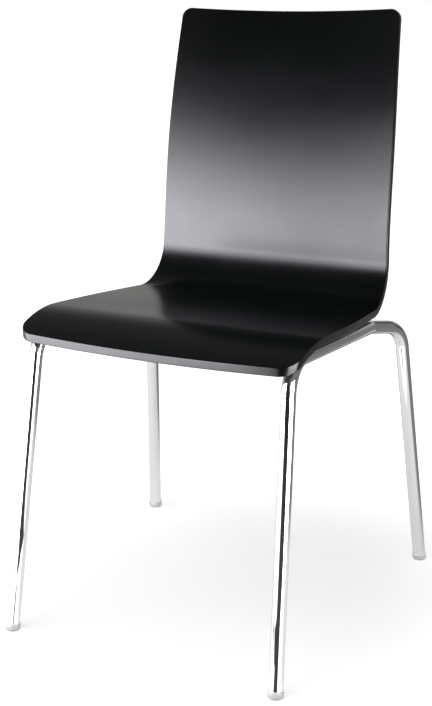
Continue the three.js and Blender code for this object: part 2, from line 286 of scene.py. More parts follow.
def combined(piece, tools, operation):
    """Joins the tools to the piece or cuts them out of it, and deletes them."""
    for tool in tools:
        with_modifier(piece, "BOOLEAN", object=tool, operation=operation, solver="EXACT")
        bpy.data.objects.remove(tool)
    closed_up(piece)


def drilled(piece, tools):
    combined(piece, tools, "DIFFERENCE")


def fused(piece, tools):
    combined(piece, tools, "UNION")


def weighted(piece, name, weight):
    """Gives the piece a vertex group, with the weight that a function finds for each vertex's place."""
    group = piece.vertex_groups.new(name=name)
    for vertex in piece.data.vertices:
        group.add([vertex.index], weight(vertex.co), "REPLACE")


def pressed(piece, name, direction, depth):
    """Moves the piece along one axis by the depth times its vertex group's weight."""
    with_modifier(piece, "DISPLACE", direction=direction, strength=depth, mid_level=0, vertex_group=name)


def placed(piece, matrix):
    """Puts the piece where the matrix says, and its place into its mesh."""
    only(piece)
    piece.matrix_world = matrix @ piece.matrix_world
    settled()
    return piece


def copied(piece, name, matrix):
    """A copy of the piece with its own mesh, put where the matrix says."""
    only(piece)
    bpy.ops.object.duplicate(linked=False)
    copy = bpy.context.active_object
    copy.name = copy.data.name = name
    return placed(copy, matrix)


def dressed(piece, node, material):
    """The piece takes the CAD node's place and its material."""
    piece.data.materials.clear()
    piece.data.materials.append(material)
    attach(piece, "root")
    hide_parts(node)


def turned(name, profile, sides=TURNED_SIDES, hollow=False):
    """A piece turned about Z: a ring is extruded and widened from one [radius, height] point to the next."""
    (radius, height), *others = profile
    piece = started(
        name, bpy.ops.mesh.primitive_circle_add, vertices=sides, radius=radius, location=(0, 0, height)
    )
    for next_radius, next_height in others:
        drawn_out((0, 0, next_height - height))
        grow = next_radius / radius
        bpy.ops.transform.resize(value=(grow, grow, 1), center_override=(0, 0, next_height))
        radius, height = next_radius, next_height
    if hollow:
        bpy.ops.mesh.select_all(action="SELECT")
        bpy.ops.mesh.remove_doubles(threshold=WELD_DISTANCE)
    sealed()
    return piece


def ring(name, inside, outside, low, high, ease):
    """A plain ring about Z, its edges eased by a width and a number of segments."""
    corners = [(inside, low), (outside, low), (outside, high), (inside, high), (inside, low)]
    piece = turned(name, corners, hollow=True)
    softened(*ease)
    return closed_up(piece)


def rod_tool(radius, start, end, sides=TOOL_SIDES):
    """A plain rod from start to end, to cut with or to shape further."""
    run = end - start
    return added(
        bpy.ops.mesh.primitive_cylinder_add,
        vertices=sides,
        radius=radius,
        depth=run.length,
        location=(start + end) / 2,
        rotation=run.to_track_quat("Z", "Y").to_euler(),
    )


def arc_handle(radius, turn):
    """Handle length of a Bezier curve that follows an arc."""
    return 4 / 3 * math.tan(turn / 4) * radius


# Places on the chair


def seat_matrix():
    """From the seat's own axes, Y along the seat and Z square to it, to the chair's."""
    shell = bpy.context.scene.choir_shell
    return Matrix.Translation((0, shell.middle, shell.seat_height)) @ Matrix.Rotation(-shell.slope, 4, "X")


def side_line(side):
    """The corners of one side of the frame, from the front foot to the rear foot."""
    tubes = bpy.context.scene.choir_frame
    middle = bpy.context.scene.choir_shell.middle
    seat = seat_matrix()
    rail_x = side * tubes.rail_spacing / 2
    joint = seat @ Vector((rail_x, tubes.joint_reach, -tubes.rail_depth))
    return {
        "front_foot": Vector((side * tubes.front_track / 2, middle - tubes.foot_reach, 0)),
        "front_corner": seat @ Vector((rail_x, -tubes.corner_reach, -tubes.rail_depth)),
        "joint": joint,
        "elbow": joint + Vector((side * tubes.elbow_out, tubes.elbow_back, -tubes.elbow_drop)),
        "rear_foot": Vector((side * tubes.rear_track / 2, middle + tubes.foot_reach, 0)),
    }


def screw_places():
    """For each screw: the end of its pieces' names, its side, and its place in the seat's axes."""
    fixings = bpy.context.scene.choir_fixings
    x = bpy.context.scene.choir_frame.rail_spacing / 2 - fixings.inset
    return [
        (f"{where}_{name}", side, Vector((side * x, along, 0)))
        for name, side in SIDES
        for where, along in (("front", fixings.front_place), ("rear", fixings.rear_place))
    ]


# Finishes

PLIES = 9


def new_finish(name):
    """A new material and its node tree and shader."""
    material = bpy.data.materials.new(name)
    material.use_nodes = True
    tree = material.node_tree
    return material, tree, tree.nodes["Principled BSDF"]


def filled(tree, node, inputs):
    """Links or sets the inputs of a node, each given by its name or its number."""
    for key, value in inputs.items():
        if isinstance(value, bpy.types.NodeSocket):
            tree.links.new(value, node.inputs[key])
        else:
            node.inputs[key].default_value = value


def added_node(tree, kind, inputs=None, **settings):
    """A shader node with these settings and inputs."""
    node = tree.nodes.new(f"ShaderNode{kind}")
    for key, value in settings.items():
        setattr(node, key, value)
    filled(tree, node, inputs or {})
    return node


def object_coordinates(tree):
    return added_node(tree, "TexCoord").outputs["Object"]


def reckoned(tree, operation, *values):
    """A Math node on values and sockets."""
    return added_node(tree, "Math", dict(enumerate(values)), operation=operation).outputs["Value"]


def speckle(tree, source, scale, detail, stretch=(1, 1, 1)):
    """A noise pattern on the given coordinates."""
    mapping = added_node(tree, "Mapping", {"Vector": source, "Scale": stretch})
    inputs = {"Vector": mapping.outputs["Vector"], "Scale": scale, "Detail": detail}
    return added_node(tree, "TexNoise", inputs).outputs["Fac"]


def ranged(tree, value, low, high, start=0.3, end=0.7):
    """Spreads the part of a value from start to end over the range from low to high."""
    inputs = {"Value": value, "From Min": start, "From Max": end, "To Min": low, "To Max": high}
    return added_node(tree, "MapRange", inputs, interpolation_type="SMOOTHSTEP").outputs["Result"]


def blended(tree, factor, first, second):
    """Mixes two colours."""
    inputs = {"Factor": factor, 6: (*first, 1), 7: (*second, 1)}
    return added_node(tree, "Mix", inputs, data_type="RGBA").outputs[2]


def bumped(tree, shader, height, strength, distance, before=None):
    """Adds a bump, on top of the one before it."""
    inputs = {"Strength": strength, "Distance": distance, "Height": height}
    if before is not None:
        inputs["Normal"] = before
    normal = added_node(tree, "Bump", inputs).outputs["Normal"]
    tree.links.new(normal, shader.inputs["Normal"])
    return normal


def shaded(value, factor):
    """A colour made darker or lighter."""
    return tuple(min(1, part * factor) for part in value)


def patterned_finish(name, base, noises, tones, roughness, relief, more=None):
    """A finish with noises, each a scale, a detail and maybe a stretch, for its tone, its gloss and its
    relief. The last one serves for the rest. The relief is a bump's strength and distance."""
    material, tree, shader = new_finish(name)
    place = object_coordinates(tree)
    patterns = [speckle(tree, place, *noise) for noise in noises]
    tone, gloss, surface = (patterns + 2 * patterns[-1:])[:3]
    dark, light = (shaded(base, factor) for factor in tones)
    inputs = {
        "Base Color": blended(tree, ranged(tree, tone, 0, 1), dark, light),
        "Roughness": ranged(tree, gloss, *roughness),
    }
    filled(tree, shader, inputs | (more or {}))
    bumped(tree, shader, surface, *relief)
    return material


def lacquer_finish():
    """Black lacquer over veneer: faint grain, fine orange peel, handling marks, and plies on the edge."""
    finishes = bpy.context.scene.choir_finishes
    material, tree, shader = new_finish("Black lacquer")
    place = object_coordinates(tree)
    blank = added_node(tree, "UVMap", uv_map="Blank").outputs["UV"]
    grain = speckle(tree, blank, scale=60, detail=6, stretch=(9, 0.35, 1))
    peel = speckle(tree, place, scale=420, detail=2)
    marks = speckle(tree, place, scale=7, detail=5)
    depth = added_node(tree, "Attribute", attribute_name="ply").outputs["Fac"]
    layer = ranged(tree, reckoned(tree, "PINGPONG", depth, 1 / PLIES), 0, 1, start=0.02, end=0.09)
    dark, light = (shaded(finishes.lacquer, factor) for factor in (0.8, 1.3))
    rough = finishes.lacquer_roughness
    inputs = {
        "Base Color": blended(tree, ranged(tree, grain, 0, 1), dark, light),
        "Roughness": ranged(tree, marks, rough - 0.035, rough + 0.02),
        "IOR": 1.52,
    }
    filled(tree, shader, inputs)
    under = bumped(tree, shader, grain, strength=0.05, distance=0.05 * MM)
    under = bumped(tree, shader, peel, strength=0.04, distance=0.06 * MM, before=under)
    bumped(tree, shader, layer, strength=0.12, distance=0.1 * MM, before=under)
    return material


def chrome_finish():
    """Bright chrome with faint smears and a very slight waviness from polishing."""
    clouds, smears, waves = (9, 2), (38, 2, (1, 1, 0.4)), (90, 2)
    return patterned_finish(
        "Bright chrome",
        bpy.context.scene.choir_finishes.chrome,
        noises=(clouds, smears, waves),
        tones=(0.98, 1),
        roughness=(0.03, 0.045),
        relief=(0.02, 0.01 * MM),
        more={"Metallic": 1},
    )


def zinc_finish():
    """Zinc plated steel, dull, with a fine crystalline unevenness."""
    crystals = (1500, 4)
    return patterned_finish(
        "Zinc plated steel",
        bpy.context.scene.choir_finishes.zinc,
        noises=(crystals,),
        tones=(0.85, 1),
        roughness=(0.28, 0.42),
        relief=(0.1, 0.03 * MM),
        more={"Metallic": 1},
    )


def plastic_finish():
    """Moulded black plastic with a spark eroded grain."""
    pores = (2600, 3)
    return patterned_finish(
        "Black plastic",
        bpy.context.scene.choir_finishes.plastic,
        noises=(pores,),
        tones=(0.8, 1.2),
        roughness=(0.5, 0.62),
        relief=(0.3, 0.04 * MM),
    )


def brass_finish():
    """Turned brass with fine tool marks."""
    turns = (900, 2, (0.2, 0.2, 4))
    return patterned_finish(
        "Turned brass",
        bpy.context.scene.choir_finishes.brass,
        noises=(turns,),
        tones=(0.85, 1),
        roughness=(0.28, 0.4),
        relief=(0.15, 0.03 * MM),
        more={"Metallic": 1},
    )


def glide_finish():
    """Pale translucent plastic, slightly cloudy, scuffed near the floor."""
    clouds, scuffs = (160, 3), (900, 4, (1, 1, 0.3))
    return patterned_finish(
        "Translucent plastic",
        bpy.context.scene.choir_finishes.glide,
        noises=(clouds, scuffs),
        tones=(0.96, 1.02),
        roughness=(0.28, 0.42),
        relief=(0.08, 0.03 * MM),
        more={"IOR": 1.49, "Transmission Weight": 0.25},
    )


# Shell

BLANK_ROWS = 27
BLANK_COLUMNS = 24
# strips in the waterfall, the flat, the bend and the backrest
ZONE_STRIPS = (16, 10, 34, 34)
CORNER_SEGMENTS = 10
RIM_SEGMENTS = 4
RIM_BORDER = 1.2 * MM
CUT_CLEARANCE = 0.3 * MM
NOSE_RESERVE = 30 * MM
CURVE_STEPS = 64
# how far the normal of a broad face and of a side face points up or down
BROAD_FACE = 0.99
SIDE_FACE = 0.6


def smooth_through(stations, place):
    """A smooth curve through stations of (place, value)."""

    def slope(i):
        before, after = stations[max(i - 1, 0)], stations[min(i + 1, len(stations) - 1)]
        return (after[1] - before[1]) / (after[0] - before[0])

    reached = sum(station[0] <= place for station in stations) - 1
    i = min(max(reached, 0), len(stations) - 2)
    (start, low), (end, high) = stations[i], stations[i + 1]
    run = end - start
    t = (place - start) / run
    eased = t * t * (3 - 2 * t)
    return low + (high - low) * eased + run * t * (1 - t) * (slope(i) * (1 - t) - slope(i + 1) * t)


class Blank:
    """The shell before it is pressed: where its zones end, and how wide it is."""

    def __init__(self, sizes):
        self.sizes = sizes
        self.waterfall_turn = sizes.nose_drop + sizes.slope
        self.bend_turn = math.pi / 2 + sizes.slope - sizes.lean_low
        self.back_turn = sizes.lean_top - sizes.lean_low
        self.waterfall_end = sizes.waterfall_radius * self.waterfall_turn
        self.flat_end = self.waterfall_end + sizes.flat_in_front + sizes.flat_behind
        self.bend_end = self.flat_end + sizes.bend_radius * self.bend_turn
        self.length = self.bend_end + sizes.back_length
        self.stations = [
            (0, sizes.nose_half),
            (self.waterfall_end, sizes.seat_half),
            ((self.waterfall_end + self.flat_end) / 2, sizes.seat_middle_half),
            (self.flat_end, sizes.waist_half),
            (self.bend_end, sizes.back_low_half),
            ((self.bend_end + self.length) / 2, sizes.back_middle_half),
            (self.length, sizes.top_half),
        ]

    def half_width(self, place):
        return smooth_through(self.stations, min(max(place, 0), self.length))

    def crown(self, co):
        across = co.x / self.half_width(co.y)
        return max(0, 1 - across * across)

    def bow_weight(self, co):
        return max(0, 1 - max(co.y, 0) / self.waterfall_end) * self.crown(co)

    def dip_weight(self, co):
        return max(0, co.y - self.bend_end) / self.sizes.back_length * self.crown(co)

    def hollow_weight(self, co):
        return max(0, co.y - self.bend_end) / self.sizes.back_length * self.dip_weight(co)

    def cuts(self):
        """Where the blank is divided along its length, closely where it is bent."""
        ends = (0, self.waterfall_end, self.flat_end, self.bend_end, self.length)
        zones = zip(ends, ends[1:], ZONE_STRIPS)
        return [start + (end - start) * i / count for start, end, count in zones for i in range(count)][1:]


def flat_blank(blank):
    """The flat blank, its top face at height zero: outline, corners and eased rim."""
    sizes = blank.sizes
    piece = started(
        "plywood_shell",
        bpy.ops.mesh.primitive_grid_add,
        x_subdivisions=2,
        y_subdivisions=BLANK_ROWS,
        size=1,
        location=(0, 0.5, 0),
    )
    # two metres wide, so that each row takes its half width as its scale
    bpy.ops.transform.resize(value=(2, blank.length, 1), center_override=(0, 0, 0))
    for row in range(BLANK_ROWS + 1):
        place = blank.length * row / BLANK_ROWS
        pick("VERT", lambda vert: abs(vert.co.y - place) < MM)
        bpy.ops.transform.resize(value=(blank.half_width(place), 1, 1), center_override=(0, place, 0))
    bpy.ops.mesh.select_all(action="SELECT")
    bpy.ops.mesh.extrude_region_move(TRANSFORM_OT_translate={"value": (0, 0, -sizes.thickness)})
    sealed()
    # the front edge stands upright on the finished chair, so its lower side is drawn forward here
    pick("VERT", lambda vert: vert.co.y < MM and vert.co.z < -sizes.thickness / 2)
    forward = sizes.thickness * math.tan(sizes.nose_drop)
    bpy.ops.transform.translate(value=(0, -forward, 0))
    for at_nose, radius in ((True, sizes.nose_corner), (False, sizes.top_corner)):
        pick("EDGE", upright_corner(blank, at_nose))
        rounded(radius, CORNER_SEGMENTS)
    pick("EDGE", rim_edge)
    rounded(sizes.rim, RIM_SEGMENTS)
    for facing in (1, -1):
        pick("FACE", lambda face: face.normal.z * facing > BROAD_FACE)
        bpy.ops.mesh.inset(thickness=RIM_BORDER, use_even_offset=True)
    return piece


def upright_corner(blank, at_nose):
    """A test for the two upright edges at the nose's corners or at the top's."""

    def test(edge):
        a, b = (vert.co for vert in edge.verts)
        if abs(a.z - b.z) < blank.sizes.thickness / 2 or abs(a.x) < blank.sizes.top_half / 2:
            return False
        low, high = min(a.y, b.y), max(a.y, b.y)
        return high < MM if at_nose else low > blank.length - MM

    return test


def rim_edge(edge):
    """A test for edges between a broad face and the side of the blank."""
    if len(edge.link_faces) != 2:
        return False
    side, broad = sorted(abs(face.normal.z) for face in edge.link_faces)
    return side < SIDE_FACE and broad > BROAD_FACE


def divided(blank):
    """Cuts the blank into narrow strips both ways, so that it can be bent."""
    bpy.ops.mesh.select_mode(type="VERT")
    for place in blank.cuts():
        cut_across((0, place, 0), (0, 1, 0), threshold=CUT_CLEARANCE)
    widest = blank.sizes.seat_half
    for column in range(1, BLANK_COLUMNS):
        across = widest * (2 * column / BLANK_COLUMNS - 1)
        cut_across((across, 0, 0), (1, 0, 0), threshold=CUT_CLEARANCE)


def side_profile(blank):
    """The press's side profile as a Bezier curve, which starts a little before the nose."""
    sizes = blank.sizes
    lead = NOSE_RESERVE / sizes.waterfall_radius
    nose = blank.waterfall_turn + lead
    back_radius = sizes.back_length / blank.back_turn
    heading = blank.bend_turn
    out, rise = sizes.bend_radius * math.sin(heading), sizes.bend_radius * (1 - math.cos(heading))
    bend_top = Vector((0, sizes.flat_behind + out, rise))
    half_turn = blank.back_turn / 2

    def up_the_back(turn):
        left = heading - turn
        return bend_top + back_radius * Vector(
            (0, math.sin(heading) - math.sin(left), math.cos(left) - math.cos(heading))
        )

    nose_handle = arc_handle(sizes.waterfall_radius, nose)
    flat_handle = (sizes.flat_in_front + sizes.flat_behind) / 3
    bend_handle = arc_handle(sizes.bend_radius, blank.bend_turn)
    back_handle = arc_handle(back_radius, half_turn)
    out, fall = sizes.waterfall_radius * math.sin(nose), sizes.waterfall_radius * (1 - math.cos(nose))
    nose_point = Vector((0, -sizes.flat_in_front - out, -fall))
    points = [
        (nose_point, nose, nose_handle, nose_handle),
        (Vector((0, -sizes.flat_in_front, 0)), 0, nose_handle, flat_handle),
        (Vector((0, sizes.flat_behind, 0)), 0, flat_handle, bend_handle),
        (bend_top, heading, bend_handle, back_handle),
        (up_the_back(half_turn), heading - half_turn, back_handle, back_handle),
        (up_the_back(2 * half_turn), heading - 2 * half_turn, back_handle, back_handle),
    ]
    curve = added(bpy.ops.curve.primitive_bezier_curve_add)
    curve.data.resolution_u = CURVE_STEPS
    curve.data.twist_mode = "MINIMUM"
    spline = curve.data.splines[0]
    spline.bezier_points.add(len(points) - len(spline.bezier_points))
    for knot, (place, turn, before, after) in zip(spline.bezier_points, points):
        along = Vector((0, math.cos(turn), math.sin(turn)))
        knot.handle_left_type = knot.handle_right_type = "FREE"
        knot.co = place
        knot.handle_left = place - before * along
        knot.handle_right = place + after * along
        knot.tilt = math.pi / 2
    return curve


def keep_blank_coordinates(piece, blank):
    """Keeps the flat blank's coordinates as a UV map, for the grain, and the depth in the plies."""
    mesh = piece.data
    for layer in list(mesh.uv_layers):
        mesh.uv_layers.remove(layer)
    flat = mesh.uv_layers.new(name="Blank")
    for loop in mesh.loops:
        place = mesh.vertices[loop.vertex_index].co
        flat.data[loop.index].uv = (place.x + 0.5, place.y)
    depth = mesh.attributes.new("ply", "FLOAT", "POINT")
    for vertex in mesh.vertices:
        depth.data[vertex.index].value = -vertex.co.z / blank.sizes.thickness


class CHOIR_OT_press_shell(bpy.types.Operator):
    """Cut the blank, press it to the side profile and drill it for the inserts"""

    bl_idname = "choir.press_shell"
    bl_label = "Press Shell"

    def execute(self, context):
        blank = Blank(context.scene.choir_shell)
        sizes = blank.sizes
        piece = flat_blank(blank)
        divided(blank)
        closed_up(piece)
        keep_blank_coordinates(piece, blank)
        weighted(piece, "hollow", blank.hollow_weight)
        weighted(piece, "dip", blank.dip_weight)
        weighted(piece, "bow", blank.bow_weight)
        pressed(piece, "hollow", "Z", -sizes.hollow)
        pressed(piece, "dip", "Y", -sizes.top_dip)
        pressed(piece, "bow", "Y", -sizes.nose_bow)
        piece.vertex_groups.clear()
        placed(piece, Matrix.Translation((0, NOSE_RESERVE, 0)))
        curve = side_profile(blank)
        with_modifier(piece, "CURVE", object=curve, deform_axis="POS_Y")
        bpy.data.objects.remove(curve)
        fixings = context.scene.choir_fixings
        gap = context.scene.choir_frame.gap
        bores = [
            rod_tool(
                fixings.insert / 2 + gap,
                place - Vector((0, 0, sizes.thickness + fixings.insert_length)),
                place + Vector((0, 0, fixings.insert_length + gap - sizes.thickness)),
            )
            for _, _, place in screw_places()
        ]
        drilled(piece, bores)
        placed(piece, seat_matrix())
        dressed(piece, "seat_shell", lacquer_finish())
        return {"FINISHED"}


# Frame

TUBE_SIDES = 64
BEND_STEPS = 24
# the beads' counts differ from the tubes', because edges that lie on each other spoil the join
BEAD_SIDES = {"major_segments": 54, "minor_segments": 22}
STRAIGHT_BEAD_SIDES = 26
BEAD_END_SHARE = 0.9
BEAD_END_SEGMENTS = 5


def bent_tube(name, corners, bend_radius):
    """An open tube: a ring drawn out along the first leg, spun round the bend and drawn out again."""
    start, corner, end = corners
    first, second = (corner - start).normalized(), (end - corner).normalized()
    turn = first.angle(second)
    setback = bend_radius * math.tan(turn / 2)
    inward = (second - first * second.dot(first)).normalized()
    bend_start = corner - first * setback
    centre = bend_start + inward * bend_radius
    piece = started(
        name,
        bpy.ops.mesh.primitive_circle_add,
        vertices=TUBE_SIDES,
        radius=bpy.context.scene.choir_frame.tube / 2,
        location=start,
        rotation=first.to_track_quat("Z", "Y").to_euler(),
    )
    drawn_out(bend_start - start)
    # the spin operator turns against its axis
    bpy.ops.mesh.spin(steps=BEND_STEPS, angle=-turn, center=centre, axis=first.cross(second).normalized())
    after = corner + second * setback
    drawn_out(end - after)
    last_ring = [vert.co.copy() for vert in bmesh.from_edit_mesh(piece.data).verts if vert.select]
    middle = sum(last_ring, Vector()) / len(last_ring)
    if (middle - end).length > MM:
        raise RuntimeError(f"the bend of {name} turned the wrong way: {middle} is not {end}")
    bpy.ops.mesh.select_all(action="SELECT")
    bpy.ops.mesh.remove_doubles(threshold=WELD_DISTANCE)
    bpy.ops.mesh.normals_make_consistent(inside=False)
    return piece


def walled(piece):
    """Gives the open tube its wall, inwards."""
    bpy.ops.object.mode_set(mode="OBJECT")
    wall = bpy.context.scene.choir_frame.wall
    with_modifier(piece, "SOLIDIFY", thickness=wall, offset=-1, use_even_offset=True)
    closed_up(piece)


def leg(name, foot, corner, joint, beyond, bend_radius):
    """A leg tube from the foot over its bend to the joint, mitred towards the point beyond the joint."""
    tubes = bpy.context.scene.choir_frame
    glides = bpy.context.scene.choir_glides
    along = (joint - corner).normalized()
    mitre = (along + (beyond - joint).normalized()).normalized()
    start = foot + (corner - foot).normalized() * (glides.floor + tubes.gap)
    piece = bent_tube(name, (start, corner, joint + along * tubes.tube), bend_radius)
    cut_across(joint - mitre * tubes.gap / 2, mitre, clear_outer=True)
    walled(piece)
    return piece


class CHOIR_OT_bend_legs(bpy.types.Operator):
    """Bend the four leg tubes, the front ones with their rails"""

    bl_idname = "choir.bend_legs"
    bl_label = "Bend Legs"

    def execute(self, context):
        tubes = context.scene.choir_frame
        chrome = chrome_finish()
        for name, side in SIDES:
            line = side_line(side)
            front, rear = line["front_corner"], line["elbow"]
            for where, corner, beyond, bend_radius in (
                ("front", front, rear, tubes.corner_radius),
                ("rear", rear, front, tubes.elbow_radius),
            ):
                foot = line[f"{where}_foot"]
                piece = leg(f"{where}_leg_tube_{name}", foot, corner, line["joint"], beyond, bend_radius)
                dressed(piece, f"{where}_leg_{name}", chrome)
        return {"FINISHED"}


def rail_tools():
    """Two rods that cut a piece back to the rails' surfaces, in the seat's own axes."""
    tubes = bpy.context.scene.choir_frame
    return [
        rod_tool(
            tubes.tube / 2 + WELD_DISTANCE,
            Vector((side * tubes.rail_spacing / 2, -tubes.corner_reach, -tubes.rail_depth)),
            Vector((side * tubes.rail_spacing / 2, tubes.joint_reach, -tubes.rail_depth)),
        )
        for _, side in SIDES
    ]


def saddle_bead(side, place):
    """A weld bead round a cross tube's end, along the line where it meets the rail."""
    tubes = bpy.context.scene.choir_frame
    rail = tubes.tube / 2
    # the bead's middle lies a tenth of its radius off the cross tube
    ring_radius = tubes.cross_tube / 2 + tubes.bead / 10
    reach = ring_radius + tubes.bead
    bead = started(
        "bead",
        bpy.ops.mesh.primitive_torus_add,
        major_radius=ring_radius,
        minor_radius=tubes.bead,
        location=(side * (tubes.rail_spacing / 2 - rail), place, -tubes.rail_depth),
        rotation=(0, math.pi / 2, 0),
        **BEAD_SIDES,
    )
    bpy.ops.object.mode_set(mode="OBJECT")

    def set_back(height):
        return rail - math.sqrt(rail * rail - height * height)

    furthest = set_back(reach)
    weighted(bead, "saddle", lambda co: set_back(min(abs(co.z + tubes.rail_depth), reach)) / furthest)
    pressed(bead, "saddle", "X", side * furthest)
    bead.vertex_groups.clear()
    return bead


def straight_bead(start, end):
    """A straight weld bead with rounded ends."""
    radius = bpy.context.scene.choir_frame.bead
    bead = rod_tool(radius, start, end, STRAIGHT_BEAD_SIDES)
    settled()
    bpy.ops.object.mode_set(mode="EDIT")
    softened(BEAD_END_SHARE * radius, BEAD_END_SEGMENTS)
    bpy.ops.object.mode_set(mode="OBJECT")
    return bead


class CHOIR_OT_cut_cross_tubes(bpy.types.Operator):
    """Cut the two cross tubes to the rails and weld them on"""

    bl_idname = "choir.cut_cross_tubes"
    bl_label = "Cut Cross Tubes"

    def execute(self, context):
        tubes = context.scene.choir_frame
        chrome = bpy.data.materials["Bright chrome"]
        for name, place in (("front", tubes.front_cross), ("rear", tubes.rear_cross)):
            piece = started(
                f"{name}_cross_bar",
                bpy.ops.mesh.primitive_circle_add,
                vertices=TUBE_SIDES,
                radius=tubes.cross_tube / 2,
                location=(-tubes.rail_spacing / 2, place, -tubes.rail_depth),
                rotation=(0, math.pi / 2, 0),
            )
            drawn_out((tubes.rail_spacing, 0, 0))
            bpy.ops.mesh.select_all(action="SELECT")
            bpy.ops.mesh.normals_make_consistent(inside=False)
            walled(piece)
            fused(piece, [saddle_bead(side, place) for _, side in SIDES])
            drilled(piece, rail_tools())
            placed(piece, seat_matrix())
            dressed(piece, f"{name}_cross_tube", chrome)
        return {"FINISHED"}


# Fixings

# how far edges are eased, and in how many segments
PLATE_EASE = (0.4 * MM, 3)
SPACER_EASE = (0.8 * MM, 4)
WASHER_EASE = (0.25 * MM, 3)
SCREW_EASE = (0.5 * MM, 4)
INSERT_EASE = (0.3 * MM, 2)
# the two roundings of a plate's free end stop just short of each other
PLATE_END_CLEARANCE = 0.05 * MM
PLATE_END_SEGMENTS = 16
# how far the screws end below the inserts' tops
TIP_CLEARANCE = MM
SOCKET_SIDES = 6


class CHOIR_OT_fit_plates(bpy.types.Operator):
    """Cut the fixing plates and weld them to the rails"""

    bl_idname = "choir.fit_plates"
    bl_label = "Fit Plates"

    def execute(self, context):
        tubes, fixings = context.scene.choir_frame, context.scene.choir_fixings
        half = fixings.plate_width / 2
        reach = fixings.inset + half
        middle = fixings.plate_rise - tubes.rail_depth - fixings.plate_thickness / 2
        body = (reach / 2 - half, 0, middle)
        plate = started("plate", bpy.ops.mesh.primitive_cube_add, size=1, location=body)
        extent = (reach, fixings.plate_width, fixings.plate_thickness)
        bpy.ops.transform.resize(value=extent, center_override=body)

        def inner_upright(edge):
            a, b = (vert.co for vert in edge.verts)
            return abs(a.z - b.z) > MM and a.x < 0 and b.x < 0

        pick("EDGE", inner_upright)
        rounded(half - PLATE_END_CLEARANCE, PLATE_END_SEGMENTS)
        softened(*PLATE_EASE)
        closed_up(plate)
        bore = fixings.screw / 2 + tubes.gap
        down = Vector((0, 0, fixings.plate_thickness))
        centre = Vector((0, 0, middle))
        # the bead's middle lies a quarter of its radius below the plate
        underneath = middle - fixings.plate_thickness / 2 - tubes.bead / 4
        bead_reach = Vector((0, half - 2 * tubes.bead, 0))
        for where, side, place in screw_places():
            spin = Matrix.Rotation(0 if side > 0 else math.pi, 4, "Z")
            piece = copied(plate, f"plate_{where}", Matrix.Translation(place) @ spin)
            seam = Vector((side * (tubes.rail_spacing - tubes.tube) / 2, place.y, underneath))
            fused(piece, [straight_bead(seam - bead_reach, seam + bead_reach)])
            hole = rod_tool(bore, place + centre - down, place + centre + down, TURNED_SIDES)
            drilled(piece, [hole] + rail_tools())
            placed(piece, seat_matrix())
            dressed(piece, f"fixing_plate_{where}", bpy.data.materials["Bright chrome"])
        bpy.data.objects.remove(plate)
        return {"FINISHED"}


class CHOIR_OT_fit_fixings(bpy.types.Operator):
    """Turn one spacer, washer, screw and insert, and put a copy of each at the four places"""

    bl_idname = "choir.fit_fixings"
    bl_label = "Fit Fixings"

    def execute(self, context):
        shell, tubes = context.scene.choir_shell, context.scene.choir_frame
        fixings = context.scene.choir_fixings
        gap = tubes.gap
        bore = fixings.screw / 2 + gap
        underside = -shell.thickness
        plate_top = fixings.plate_rise - tubes.rail_depth
        washer_top = plate_top - fixings.plate_thickness - gap
        washer_bottom = washer_top - fixings.washer_thickness
        head_top = washer_bottom - gap
        head_bottom = head_top - fixings.head_height
        insert_top = underside + fixings.insert_length
        spacer = ring("spacer", bore, fixings.spacer / 2, plate_top + gap, underside - gap, SPACER_EASE)
        washer = ring("washer", bore, fixings.washer / 2, washer_bottom, washer_top, WASHER_EASE)
        insert = ring("insert", bore, fixings.insert / 2, underside + gap, insert_top, INSERT_EASE)
        shank, head = fixings.screw / 2, fixings.head / 2
        tip = insert_top - TIP_CLEARANCE
        flank = fixings.head_height / 2
        profile = [(head - flank, head_bottom), (head, head_top - flank), (head, head_top)]
        profile += [(shank, head_top), (shank, tip - shank / 2), (shank / 2, tip)]
        screw = turned("screw", profile)
        softened(*SCREW_EASE)
        closed_up(screw)
        # the key size is measured across the flats
        key = fixings.socket / 2 / math.cos(math.pi / SOCKET_SIDES)
        bottom = Vector((0, 0, head_bottom))
        reach = Vector((0, 0, fixings.socket_depth))
        drilled(screw, [rod_tool(key, bottom - reach, bottom + reach, SOCKET_SIDES)])
        plastic, zinc, brass = plastic_finish(), zinc_finish(), brass_finish()
        kinds = (
            (spacer, "spacer_ring", "spacer", "black_plastic", plastic),
            (washer, "plain_washer", "washer", "zinc_plated_steel", zinc),
            (screw, "pan_head_screw", "screw", "zinc_plated_steel", zinc),
            (insert, "threaded_insert", "insert", "brass", brass),
        )
        for pattern, piece_name, node, finish, material in kinds:
            for where, _, place in screw_places():
                piece = copied(pattern, f"{piece_name}_{where}", seat_matrix() @ Matrix.Translation(place))
                dressed(piece, f"{node}_{where}", material)
            bpy.data.objects.remove(pattern)
        return {"FINISHED"}


# Glides

GLIDE_SIDES = 72
ROUNDING_STEPS = 8
LIP = 0.5 * MM
# three points on about a quarter circle, as shares of the lip
LIP_STEPS = ((0, 1), (0.3, 0.3), (1, 0))
STEM_POINT = 1.5 * MM


